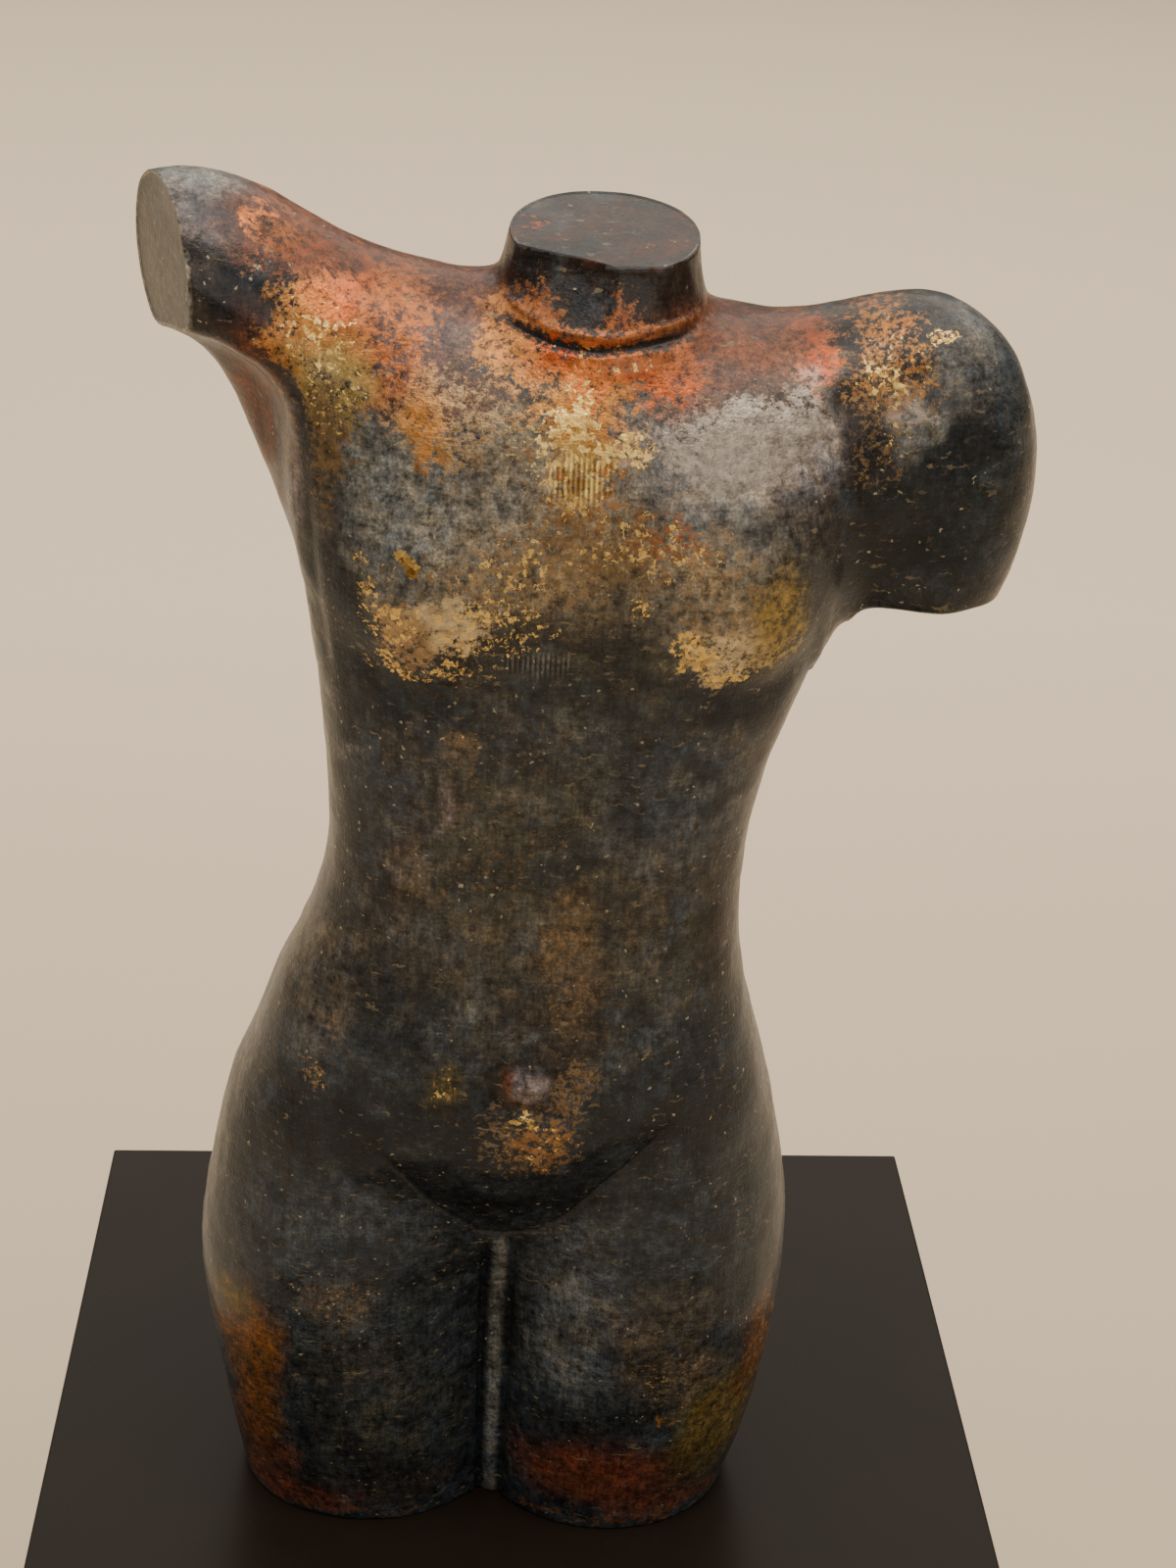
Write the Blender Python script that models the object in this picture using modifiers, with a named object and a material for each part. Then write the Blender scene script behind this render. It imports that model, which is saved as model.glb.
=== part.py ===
"""A headless female torso in cast resin, standing on its square plinth.

The torso is one solid, built as a modeller works clay: lofted masses are laid into each other, fused into one
skin and smoothed, the mounds are raised and the creases pressed in, and then the neck, the two arm stumps and
the base are sawn flat. Metres, +Z up. The figure faces -Y, and the origin is the middle of the plinth's
underside.
"""
import math

import bmesh
import bpy
import numpy as np
from mathutils import Vector

# Driving dimensions, in metres.
PLINTH_WIDTH = 0.50
PLINTH_DEPTH = 0.50
PLINTH_HEIGHT = 0.50
PLINTH_EDGE_ROUND = 0.0015
PLINTH_EDGE_FACETS = 2
FIGURE_HEIGHT = 0.693
FIGURE_SEAT_X = -0.0155
FIGURE_SEAT_Y = -0.0165
SEAT_GAP = 0.0003

# The figure is drawn in parts of its own height, 693 of them, so a part is a millimetre at full size.
# Its own origin is on its underside, between the thighs. Left and right are the viewer's.
HEIGHT_IN_PARTS = 693.0
PART = FIGURE_HEIGHT / HEIGHT_IN_PARTS
CLAY_GRAIN = 3.0
THUMB_STRENGTH = 0.5
RING_POINTS = 64
RING_STEP = 6.0
JOIN_SMOOTHING = 40
EDGE_SMOOTHING = 8
TORSO_TRIANGLES = 9500

# Rows of a mass: place along it, low edge, high edge, front, back.
TRUNK = (
    (150, -130, 132, -34, 60),
    (180, -137, 141, -48, 78),
    (207, -138, 143, -59, 86),
    (243, -132, 136, -67, 84),
    (278, -118, 127, -68, 75),
    (312, -108, 118, -66, 65),
    (345, -92, 111, -63, 58),
    (377, -83, 110, -61, 57),
    (409, -81, 113, -62, 60),
    (439, -83, 119, -64, 65),
    (468, -85, 128, -66, 71),
    (498, -88, 137, -68, 76),
    (530, -92, 145, -70, 80),
    (565, -97, 152, -68, 80),
    (600, -95, 146, -60, 76),
    (620, -80, 132, -46, 64),
    (635, -50, 98, -30, 48),
)
GIRDLE = (
    (-190, 642, 670, -30, 26),
    (-168, 631, 681, -38, 33),
    (-147, 619, 691, -42, 38),
    (-133, 609, 692, -44, 42),
    (-120, 590, 690, -45, 46),
    (-105, 558, 685, -46, 50),
    (-92, 530, 677, -48, 56),
    (-75, 505, 666, -50, 62),
    (-50, 500, 655, -50, 66),
    (-20, 500, 649, -48, 66),
    (33, 500, 642, -46, 64),
    (75, 500, 634, -48, 64),
    (100, 500, 633, -50, 64),
    (125, 505, 639, -48, 60),
    (150, 515, 646, -44, 54),
    (170, 530, 646, -40, 48),
    (190, 545, 639, -34, 40),
)
HANGING_ARM = (
    (509, 146, 215, -34, 42),
    (526, 146, 219, -36, 44),
    (545, 148, 223, -38, 45),
    (575, 150, 225, -39, 45),
    (600, 148, 221, -38, 43),
    (615, 146, 215, -36, 41),
    (630, 145, 206, -32, 36),
    (641, 146, 194, -26, 28),
    (649, 152, 180, -14, 16),
)
NECK = (
    (560, -20, 86, -30, 56),
    (625, -14, 80, -40, 52),
    (640, -10, 77, -42, 49),
    (655, -8, 75, -41, 46),
    (675, -7.5, 74.5, -40, 43),
    (710, -7.5, 74.5, -40, 43),
)
RIGHT_THIGH = (
    (-40, -6, 126, -53, 58),
    (0, -6, 130, -55, 62),
    (50, -7, 142, -59, 70),
    (100, -8, 149, -62, 80),
    (150, -8, 152, -64, 90),
    (200, -6, 146, -63, 87),
    (240, 0, 133, -59, 76),
    (280, 12, 115, -50, 62),
    (320, 28, 96, -36, 44),
)
LEFT_THIGH = (
    (-40, -127, 6, -46, 58),
    (0, -132, 6, -48, 62),
    (50, -139, 7, -54, 70),
    (100, -146, 8, -59, 80),
    (150, -150, 8, -62, 90),
    (200, -142, 6, -62, 87),
    (240, -129, 0, -58, 76),
    (280, -109, -12, -50, 62),
    (320, -88, -28, -36, 44),
)
# The hollow scooped out below the raised arm, which leaves a crisp fold down the side of the chest.
ARMPIT = (
    (450, -220, -100, -108, 0),
    (485, -220, -90, -108, 6),
    (522, -220, -87, -110, 10),
    (575, -220, -89, -110, 12),
    (600, -220, -90, -110, 12),
    (614, -220, -95, -108, 10),
    (624, -220, -108, -104, 4),
    (632, -220, -130, -96, -6),
)
# How square a mass's sections are at its first and last row. Two is an ellipse.
ROUND = (2.0, 2.0)
CHEST = (2.9, 2.7)
ARM = (2.25, 2.25)
THIGH = (1.9, 2.3)

# A mark made from one side reaches the skin that faces it, and fades towards the flanks.
FACING_GAIN = 1.6
FACING_START = 0.1

# Soft mounds on the skin: side, across, up, reach across, reach up, rise. A negative rise is a hollow.
FRONT = -1
BACK = 1
MOUNDS = (
    (FRONT, -38, 536, 42, 36, 11),
    (FRONT, 98, 536, 36, 36, 11),
    (FRONT, 8, 264, 58, 44, 8),
    (FRONT, 22, 470, 26, 70, -3),
    (BACK, -64, 165, 50, 54, 12),
    (BACK, 66, 165, 50, 54, 12),
    (BACK, -55, 555, 34, 48, 6),
    (BACK, 95, 550, 34, 48, 6),
)
# Creases pressed into the skin: side, half width, depth, and the route's points, across and up.
CREASE_FADE = 28.0
GROIN = ((-58, 245), (-42, 231), (-26, 219), (-10, 204), (0, 198), (12, 201), (31, 215), (46, 235), (88, 276))
CREASES = (
    (FRONT, 4.0, 3.0, GROIN),
    (FRONT, 13.0, 3.5, GROIN),
    (FRONT, 6.0, 1.5, ((0, 215), (0, 100), (0, -40))),
    (FRONT, 8.0, 6.0, ((134, 625), (140, 590), (143, 550), (143, 515))),
    (BACK, 9.0, 2.5, ((0, 262), (0, 120), (0, -40))),
    (BACK, 13.0, 7.0, ((3, 225), (8, 380), (18, 500), (26, 640))),
    (FRONT, 10.0, 2.0, ((-72, 503), (-46, 493), (-18, 492))),
    (FRONT, 10.0, 2.0, ((76, 494), (98, 493), (120, 501))),
)
NAVEL = (12, 297)
NAVEL_HOLLOW = (17, 14, -4.0)
NAVEL_KNOB = (10, 8, 8.0)

# Flat cuts: the middle of the saw block's face, the way it faces out of the figure, and its width.
SAW_DEPTH = 90.0
RIM_ANGLE = math.radians(40)
HANGING_ARM_CUT = ((206.0, 0.0, 519.0), (0.0, 0.0, -1.0), 130.0)
CUTS = (
    ((33.5, 0.0, 669.0), (0.0, -0.14, 0.99), 130.0),
    ((-147.5, 0.0, 655.0), (-0.93, -0.37, 0.0), 130.0),
    ((0.0, 0.0, 0.0), (0.0, 0.0, -1.0), 360.0),
)

RESIN_COLOUR = (0.075, 0.068, 0.060)
RESIN_ROUGHNESS = 0.34
PLINTH_COLOUR = (0.030, 0.024, 0.020)
PLINTH_ROUGHNESS = 0.30


def clear_scene():
    for item in list(bpy.data.objects):
        bpy.data.objects.remove(item, do_unlink=True)


def make_collection(name):
    group = bpy.data.collections.new(name)
    bpy.context.scene.collection.children.link(group)
    return group


def make_material(name, colour, roughness):
    material = bpy.data.materials.new(name)
    material.use_nodes = True
    shader = material.node_tree.nodes["Principled BSDF"]
    shader.inputs["Base Color"].default_value = (*colour, 1.0)
    shader.inputs["Roughness"].default_value = roughness
    shader.inputs["Metallic"].default_value = 0.0
    return material


def smooth_rows(rows):
    """Rows of a mass read at even steps, on smooth curves through the given ones."""
    table = np.array(rows, dtype=float)
    place = table[:, 0]
    slope = np.gradient(table, place, axis=0)
    fine = np.linspace(place[0], place[-1], int(math.ceil((place[-1] - place[0]) / RING_STEP)) + 1)
    index = np.clip(np.searchsorted(place, fine, side="right") - 1, 0, len(place) - 2)
    gap = (place[index + 1] - place[index])[:, None]
    t = (fine - place[index])[:, None] / gap
    low_weight = 2 * t**3 - 3 * t**2 + 1
    high_weight = 1 - low_weight
    low_bend = (t**3 - 2 * t**2 + t) * gap
    high_bend = (t**3 - t**2) * gap
    return (low_weight * table[index] + high_weight * table[index + 1]
            + low_bend * slope[index] + high_bend * slope[index + 1])


def section(row, squareness, upright):
    """One ring of a mass: a rounded section with its own front and back depth."""
    place, low, high, front, back = row
    ring = []
    for turn in range(RING_POINTS):
        angle = math.tau * turn / RING_POINTS
        across = math.copysign(abs(math.cos(angle)) ** (2 / squareness), math.cos(angle))
        deep = math.copysign(abs(math.sin(angle)) ** (2 / squareness), math.sin(angle))
        wide = (low + high) / 2 + across * (high - low) / 2
        depth = (front + back) / 2 + deep * (back - front) / 2
        ring.append((wide, depth, place) if upright else (place, depth, wide))
    return ring


def add_mass(clay, rows, squareness, upright):
    """Loft a mass through its rows and lay it into the clay."""
    loops = []
    for row in smooth_rows(rows):
        share = (row[0] - rows[0][0]) / (rows[-1][0] - rows[0][0])
        power = squareness[0] + (squareness[1] - squareness[0]) * share
        verts = [clay.verts.new(Vector(point) * PART) for point in section(row, power, upright)]
        edges = [clay.edges.new((verts[i], verts[(i + 1) % len(verts)])) for i in range(len(verts))]
        loops.append((verts, edges))
    faces = [clay.faces.new(loops[0][0]), clay.faces.new(loops[-1][0])]
    for (_, below), (_, above) in zip(loops, loops[1:]):
        faces += bmesh.ops.bridge_loops(clay, edges=below + above)["faces"]
    bmesh.ops.recalc_face_normals(clay, faces=faces)


def lay_masses(masses):
    clay = bmesh.new()
    for rows, squareness, upright in masses:
        add_mass(clay, rows, squareness, upright)
    mesh = bpy.data.meshes.new("clay masses")
    clay.to_mesh(mesh)
    clay.free()
    return mesh


def finish_modifiers(worker):
    """Give the object the mesh that its modifiers make, and take the modifiers off."""
    ready = worker.evaluated_get(bpy.context.evaluated_depsgraph_get())
    mesh = bpy.data.meshes.new_from_object(ready)
    worker.modifiers.clear()
    worker.data = mesh


def fuse(worker, rounds):
    """Make one even skin of what overlaps, and smooth it by the given rounds."""
    skin = worker.modifiers.new("one skin", "REMESH")
    skin.mode = "VOXEL"
    skin.voxel_size = CLAY_GRAIN * PART
    smooth = worker.modifiers.new("thumb smoothing", "SMOOTH")
    smooth.factor = THUMB_STRENGTH
    smooth.iterations = rounds
    finish_modifiers(worker)


def shape_with(worker, cutters, mesh, operation):
    """Join a mass to the body with a crisp edge, or take it out of the body."""
    tool = bpy.data.objects.new("shaper", mesh)
    tool.hide_render = True
    tool.display_type = "WIRE"
    cutters.objects.link(tool)
    shaper = worker.modifiers.new("shaper", "BOOLEAN")
    shaper.operation = operation
    shaper.object = tool
    finish_modifiers(worker)
    bpy.data.objects.remove(tool, do_unlink=True)


def saw_block(point, facing_out, width):
    """A block whose face lies on the cut, with its body on the side that is sawn away."""
    block = bmesh.new()
    bmesh.ops.create_cube(block, size=1.0)
    bmesh.ops.scale(block, vec=Vector((width, width, SAW_DEPTH)) * PART, verts=block.verts)
    bmesh.ops.translate(block, vec=Vector((0.0, 0.0, SAW_DEPTH / 2)) * PART, verts=block.verts)
    turn = Vector((0.0, 0.0, 1.0)).rotation_difference(Vector(facing_out)).to_matrix()
    bmesh.ops.rotate(block, cent=(0.0, 0.0, 0.0), matrix=turn, verts=block.verts)
    bmesh.ops.translate(block, vec=Vector(point) * PART, verts=block.verts)
    mesh = bpy.data.meshes.new("saw block")
    block.to_mesh(mesh)
    block.free()
    return mesh


def read_skin(mesh):
    points = np.empty(len(mesh.vertices) * 3, dtype=np.float32)
    normals = np.empty(len(mesh.vertices) * 3, dtype=np.float32)
    mesh.vertices.foreach_get("co", points)
    mesh.vertex_normals.foreach_get("vector", normals)
    return points.reshape(-1, 3) / PART, normals.reshape(-1, 3)


def write_skin(mesh, points):
    mesh.vertices.foreach_set("co", (points * PART).astype(np.float32).ravel())
    mesh.update()


def facing(normals, side):
    """How far each point of the skin faces the given side, from 0 to 1, with a soft edge."""
    share = np.clip(normals[:, 1] * side * FACING_GAIN + FACING_START, 0.0, 1.0)
    return share * share * (3 - 2 * share)


def raise_mound(points, normals, side, centre, reach, rise):
    across = (points[:, 0] - centre[0]) / reach[0]
    up = (points[:, 2] - centre[1]) / reach[1]
    fall = np.exp(-across**2 - up**2)
    return points + normals * (fall * rise * facing(normals, side))[:, None]


def press_crease(points, normals, side, half_width, depth, route):
    """Press a groove along a route, which fades out at its two ends."""
    flat = points[:, [0, 2]]
    stops = np.array(route, dtype=float)
    lengths = np.linalg.norm(np.diff(stops, axis=0), axis=1)
    nearest = np.full(len(points), np.inf)
    from_start = np.zeros(len(points))
    for number, length in enumerate(lengths):
        heading = (stops[number + 1] - stops[number]) / length
        along = np.clip((flat - stops[number]) @ heading, 0.0, length)
        away = np.linalg.norm(flat - stops[number] - along[:, None] * heading, axis=1)
        closer = away < nearest
        nearest[closer] = away[closer]
        from_start[closer] = along[closer] + lengths[:number].sum()
    to_end = np.minimum(from_start, lengths.sum() - from_start)
    fade = np.clip(to_end / CREASE_FADE, 0.0, 1.0)
    fall = np.exp(-(nearest / half_width) ** 2) * fade
    return points - normals * (fall * depth * facing(normals, side))[:, None]


def sculpt(mesh):
    points, normals = read_skin(mesh)
    for side, across, up, reach_across, reach_up, rise in MOUNDS:
        points = raise_mound(points, normals, side, (across, up), (reach_across, reach_up), rise)
    for side, half_width, depth, route in CREASES:
        points = press_crease(points, normals, side, half_width, depth, route)
    for reach_across, reach_up, rise in (NAVEL_HOLLOW, NAVEL_KNOB):
        points = raise_mound(points, normals, FRONT, NAVEL, (reach_across, reach_up), rise)
    write_skin(mesh, points)


def thin_out(worker):
    """Keep the form with fewer faces, most of them where it bends."""
    mesh = worker.data
    mesh.calc_loop_triangles()
    fewer = worker.modifiers.new("fewer faces", "DECIMATE")
    fewer.ratio = min(1.0, TORSO_TRIANGLES / len(mesh.loop_triangles))
    finish_modifiers(worker)


def make_torso(group, cutters, material):
    masses = (
        (TRUNK, CHEST, True),
        (GIRDLE, ROUND, False),
        (HANGING_ARM, ARM, True),
        (LEFT_THIGH, THIGH, True),
        (RIGHT_THIGH, THIGH, True),
    )
    torso = bpy.data.objects.new("torso", lay_masses(masses))
    group.objects.link(torso)
    fuse(torso, JOIN_SMOOTHING)
    shape_with(torso, cutters, lay_masses(((NECK, ROUND, True),)), "UNION")
    shape_with(torso, cutters, lay_masses(((ARMPIT, ROUND, True),)), "DIFFERENCE")
    shape_with(torso, cutters, saw_block(*HANGING_ARM_CUT), "DIFFERENCE")
    fuse(torso, EDGE_SMOOTHING)
    sculpt(torso.data)
    thin_out(torso)
    for point, facing_out, width in CUTS:
        shape_with(torso, cutters, saw_block(point, facing_out, width), "DIFFERENCE")
    torso.data.name = "torso"
    torso.data.materials.append(material)
    torso.data.shade_smooth()
    torso.data.set_sharp_from_angle(angle=RIM_ANGLE)
    torso.location = (FIGURE_SEAT_X, FIGURE_SEAT_Y, PLINTH_HEIGHT + SEAT_GAP)
    return torso


def make_plinth(group, material):
    box = bmesh.new()
    bmesh.ops.create_cube(box, size=1.0)
    bmesh.ops.scale(box, vec=(PLINTH_WIDTH, PLINTH_DEPTH, PLINTH_HEIGHT), verts=box.verts)
    mesh = bpy.data.meshes.new("plinth")
    box.to_mesh(mesh)
    box.free()
    plinth = bpy.data.objects.new("plinth", mesh)
    group.objects.link(plinth)
    plinth.location = (0.0, 0.0, PLINTH_HEIGHT / 2)
    edge = plinth.modifiers.new("eased edges", "BEVEL")
    edge.width = PLINTH_EDGE_ROUND
    edge.segments = PLINTH_EDGE_FACETS
    mesh.materials.append(material)
    return plinth


def main():
    clear_scene()
    group = make_collection("torso on plinth")
    cutters = make_collection("cutters")
    make_torso(group, cutters, make_material("patinated resin", RESIN_COLOUR, RESIN_ROUGHNESS))
    make_plinth(group, make_material("dark stained board", PLINTH_COLOUR, PLINTH_ROUGHNESS))


main()
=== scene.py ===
"""A headless female torso in patinated cast resin on its square plinth, dressed for rendering.

The figure faces -Y. Left and right in the names and comments are the viewer's. The figure's own measure is the
millimetre, from the middle of its underside.
"""
import math

import bmesh
import bpy
import numpy as np
from mathutils import Matrix, Vector, noise


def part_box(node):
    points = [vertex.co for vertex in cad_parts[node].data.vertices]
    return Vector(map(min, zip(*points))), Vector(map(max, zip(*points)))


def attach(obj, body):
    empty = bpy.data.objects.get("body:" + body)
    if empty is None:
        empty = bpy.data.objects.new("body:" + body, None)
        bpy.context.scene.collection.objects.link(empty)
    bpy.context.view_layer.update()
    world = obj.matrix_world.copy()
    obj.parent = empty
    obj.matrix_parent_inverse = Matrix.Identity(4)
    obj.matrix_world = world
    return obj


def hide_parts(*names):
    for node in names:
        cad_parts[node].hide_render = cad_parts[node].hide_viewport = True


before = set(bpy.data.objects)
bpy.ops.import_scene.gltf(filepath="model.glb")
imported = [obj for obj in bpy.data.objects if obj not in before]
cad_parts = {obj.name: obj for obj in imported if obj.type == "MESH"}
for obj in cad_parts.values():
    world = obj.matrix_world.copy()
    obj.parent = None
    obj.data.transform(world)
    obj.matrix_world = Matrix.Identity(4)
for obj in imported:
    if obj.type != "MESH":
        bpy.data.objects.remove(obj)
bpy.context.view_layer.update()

# The camera stands in front of the work, above the neck, and looks down on it by about 28 degrees.
PHOTO_WIDTH = 1200
PHOTO_HEIGHT = 1600
FOCAL_PIXELS = 2400.0
eye_data = bpy.data.cameras.new("eye")
eye_data.sensor_width = 36.0
eye_data.sensor_fit = "AUTO"
eye_data.lens = FOCAL_PIXELS / max(PHOTO_WIDTH, PHOTO_HEIGHT) * eye_data.sensor_width
eye = bpy.data.objects.new("eye", eye_data)
bpy.context.scene.collection.objects.link(eye)
eye_right = Vector((0.99817, -0.04312, 0.04285))
eye_up = Vector((-0.01702, 0.47838, 0.87799))
eye_back = Vector((-0.05830, -0.87709, 0.47676))
eye_place = Vector((-0.0409, -0.9605, 1.4272))
eye.matrix_world = Matrix((
    (eye_right.x, eye_up.x, eye_back.x, eye_place.x),
    (eye_right.y, eye_up.y, eye_back.y, eye_place.y),
    (eye_right.z, eye_up.z, eye_back.z, eye_place.z),
    (0.0, 0.0, 0.0, 1.0),
))
bpy.context.scene.camera = eye


# The torso is one hollow resin cast, made from a hand-modelled clay figure. Its skin keeps the modeller's soft
# planes and tool marks. The neck, the raised arm and the base were sawn flat after casting.
MM = 0.001
SEAT = Vector((-0.0155, -0.0165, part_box("torso")[0].z))
# The facets' size, and how far each sawn end is drawn out before the skin is smoothed, so that it is cut afresh.
GRAIN = 2.4 * MM
SPARE = 14.0 * MM
# How close two points are to be one, and what counts as a face in a cut's plane. Lengths are in metres.
WELD = 0.00002
SAME_FACING = 0.9995
ON_PLANE = 0.0002
# Each sawn end: its name, a point on it, the way it faces, and how far its rim reaches from that point.
SAWN = (
    ("neck", (33.5, 0.0, 669.0), (0.0, -0.14, 0.99), 75.0),
    ("raised arm", (-147.5, 0.0, 655.0), (-0.93, -0.37, 0.0), 75.0),
    ("base", (0.0, 0.0, 0.0), (0.0, 0.0, -1.0), 260.0),
)


def near_cut(point, place, reach):
    return (point - place).length < reach * MM


def take_cast(node):
    """The CAD node's skin as one joined mesh, a little longer at each sawn end."""
    cast = bmesh.new()
    cast.from_mesh(node.data)
    bmesh.ops.remove_doubles(cast, verts=cast.verts, dist=WELD)
    for _, point, facing, reach in SAWN:
        place = SEAT + Vector(point) * MM
        out = Vector(facing).normalized()
        end = [f for f in cast.faces if f.normal.dot(out) > SAME_FACING
               and abs((f.calc_center_median() - place).dot(out)) < ON_PLANE
               and near_cut(f.calc_center_median(), place, reach)]
        made = bmesh.ops.extrude_face_region(cast, geom=end)["geom"]
        moved = [item for item in made if isinstance(item, bmesh.types.BMVert)]
        bmesh.ops.translate(cast, vec=out * SPARE, verts=moved)
        left = [face for face in end if face.is_valid]
        if left:
            bmesh.ops.delete(cast, geom=left, context="FACES")
    mesh = bpy.data.meshes.new("torso_cast")
    cast.to_mesh(mesh)
    cast.free()
    return mesh


def settle(worker):
    """Give the object the mesh that its modifiers make, and take the modifiers off."""
    ready = worker.evaluated_get(bpy.context.evaluated_depsgraph_get())
    mesh = bpy.data.meshes.new_from_object(ready)
    worker.modifiers.clear()
    worker.vertex_groups.clear()
    worker.data = mesh


def read_skin(mesh):
    """Points in the figure's own millimetres, and normals."""
    points = np.empty(len(mesh.vertices) * 3, dtype=np.float32)
    normals = np.empty(len(mesh.vertices) * 3, dtype=np.float32)
    mesh.vertices.foreach_get("co", points)
    mesh.vertex_normals.foreach_get("vector", normals)
    return (points.reshape(-1, 3) - np.array(SEAT)) / MM, normals.reshape(-1, 3)


def write_skin(mesh, points):
    mesh.vertices.foreach_set("co", (points * MM + np.array(SEAT)).astype(np.float32).ravel())
    mesh.update()


def soft(share):
    share = np.clip(share, 0.0, 1.0)
    return share * share * (3 - 2 * share)


def along(points, route, fade):
    """Distance from a route on the front or back, and a weight that fades out at its ends."""
    flat = points[:, [0, 2]]
    stops = np.array(route, dtype=float)
    lengths = np.linalg.norm(np.diff(stops, axis=0), axis=1)
    away = np.full(len(points), 1e6)
    place = np.zeros(len(points))
    for number, length in enumerate(lengths):
        heading = (stops[number + 1] - stops[number]) / length
        step = np.clip((flat - stops[number]) @ heading, 0.0, length)
        gap = np.linalg.norm(flat - stops[number] - step[:, None] * heading, axis=1)
        closer = gap < away
        away[closer] = gap[closer]
        place[closer] = step[closer] + lengths[:number].sum()
    ends = np.minimum(place, lengths.sum() - place)
    return away, np.clip(ends / fade, 0.0, 1.0)


# Routes on the skin, in millimetres across and up. First the lip of the collar and the crease below it.
COLLAR = ((-12, 649), (-8, 646), (0, 643), (10, 640), (20, 638), (31, 637.5), (41, 638), (51, 640), (61, 641),
          (70, 642), (76, 645))
COLLAR_CREASE = ((-14, 642), (-9, 639.5), (0, 636.5), (10, 634), (20, 632.5), (31, 632), (42, 633), (53, 634.5),
                 (64, 636), (73, 639))
# The neck's front was pared flat: how far forward its rim stands, at each place across.
NECK_ACROSS = (-14, -2, 7, 24, 36, 56, 69, 78)
NECK_FRONT = (-4, -14, -19, -26, -33, -32, -20, -8)
# The groin's fine line, and the wider hollow along it.
GROIN = ((-58, 256), (-47, 244), (-31, 220), (-17, 206), (-8, 197), (4, 194), (18, 198), (32, 211), (45, 229),
         (60, 244), (71, 257), (82, 271))
GROIN_WIDE = ((-90, 280), (-58, 256), (-31, 220), (-8, 200), (18, 200), (45, 229), (82, 271), (104, 292))
# Between the thighs lies a narrow raised strip with a groove on each side.
CLEFT_LEFT = ((-4.5, 190), (-4.5, 100), (-4.2, 28), (-3.6, -10))
CLEFT_RIGHT = ((9.5, 188), (7.6, 100), (6.2, 28), (5.4, -10))
CLEFT_STRIP = ((2.6, 192), (1.6, 100), (1.0, 28), (0.8, -10))
# The fold that runs down from the raised arm, and the edge outside it.
ARMPIT = ((-112, 629), (-95, 620), (-88, 610), (-86, 592), (-86, 571), (-85, 549), (-82, 515), (-78, 480))
ARMPIT_EDGE = ((-108, 620), (-96, 612), (-93, 600), (-93, 575), (-91, 549), (-88, 515), (-84, 480))
# The lower edges of the breasts.
BREAST_LEFT = ((-76, 520), (-66, 503), (-52, 492), (-38, 486), (-18, 489), (-4, 498))
BREAST_RIGHT = ((72, 500), (84, 492), (97, 489), (111, 490), (121, 500), (126, 516))
# A short slash below the collar.
SLASH = ((-14, 622), (-4, 627), (4, 629))
# Two folds arch over the navel, one closes it on the right, and the last runs round the knob.
NAVEL_FOLDS = (
    ((-11, 281), (-10, 296), (-3, 308), (9, 312), (20, 308)),
    ((-17, 277), (-16, 296), (-8, 314), (6, 320), (18, 317)),
    ((26, 304), (30, 294), (27, 284), (18, 277)),
    ((0, 295), (3, 303), (12, 306), (21, 303), (24, 295), (21, 287), (12, 284), (3, 287), (0, 295)),
)
# A toothed tool was drawn across in two places: between the breasts, and more widely on the breastbone.
COMB = ((-5, 508), (24, 505))
COMB_HIGH = ((14, 588), (36, 583))

# What was kept crisp when the skin was rubbed smooth: a route and its width.
CRISP = ((COLLAR, 9), (CLEFT_STRIP, 12), (ARMPIT, 9))
CRISP_HELD = 0.8


def keep_crisp(points):
    """How freely the skin is smoothed: little along the crisp creases, fully elsewhere."""
    free = np.ones(len(points))
    for route, width in CRISP:
        away, _ = along(points, route, 1.0)
        near = 1 - soft(away / width)
        free = np.minimum(free, 1 - CRISP_HELD * near * (points[:, 1] < 20))
    return free


def groove(points, normals, route, half_width, depth, fade):
    away, weight = along(points, route, fade)
    faces = soft(-normals[:, 1] * 1.8 + 0.35)
    fall = np.exp(-(away / half_width) ** 2) * weight * faces
    return points - normals * (fall * depth)[:, None]


def lumps(points, size, seed):
    """Even noise on the skin, from about -1 to 1, with lumps of the given size in millimetres."""
    shift = Vector((seed * 17.3, seed * 5.1, seed * 9.7))
    return np.array([noise.noise(Vector(p) / size + shift) for p in points.tolist()])


# The modeller's hand, from broad unevenness to small dabs: height, size and seed.
UNEVEN = ((1.0, 46.0, 1), (0.5, 16.0, 2), (0.22, 7.0, 3))
# Lines pressed in, or raised where the depth is below nought: route, half width, depth, and fade at the ends.
GROOVES = (
    (COLLAR, 1.7, -1.1, 12), (COLLAR_CREASE, 1.7, 2.2, 12), (GROIN, 1.5, 0.9, 20),
    (CLEFT_LEFT, 2.0, 2.8, 10), (CLEFT_RIGHT, 2.2, 1.7, 10), (CLEFT_STRIP, 3.4, -1.2, 10),
    (BREAST_LEFT, 8.0, 1.6, 22), (BREAST_RIGHT, 8.0, 1.8, 22),
    (ARMPIT, 3.0, 1.3, 14), (ARMPIT_EDGE, 2.8, -0.9, 14), (SLASH, 2.2, 0.8, 6),
) + tuple((route, 2.3, 0.8, 8) for route in NAVEL_FOLDS)
# The hanging arm was cut level, with a crisp rim, a little lower than the CAD solid ends. Heights and distances
# from the middle are in millimetres.
ARM_INSIDE = 126
ARM_DROP = 7.2
ARM_DROP_FROM = 560
ARM_RIM_INSIDE = 136
ARM_RIM_FROM = 530
ARM_RIM_TO = 500
ARM_RIM_FILL = 6.5
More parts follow.
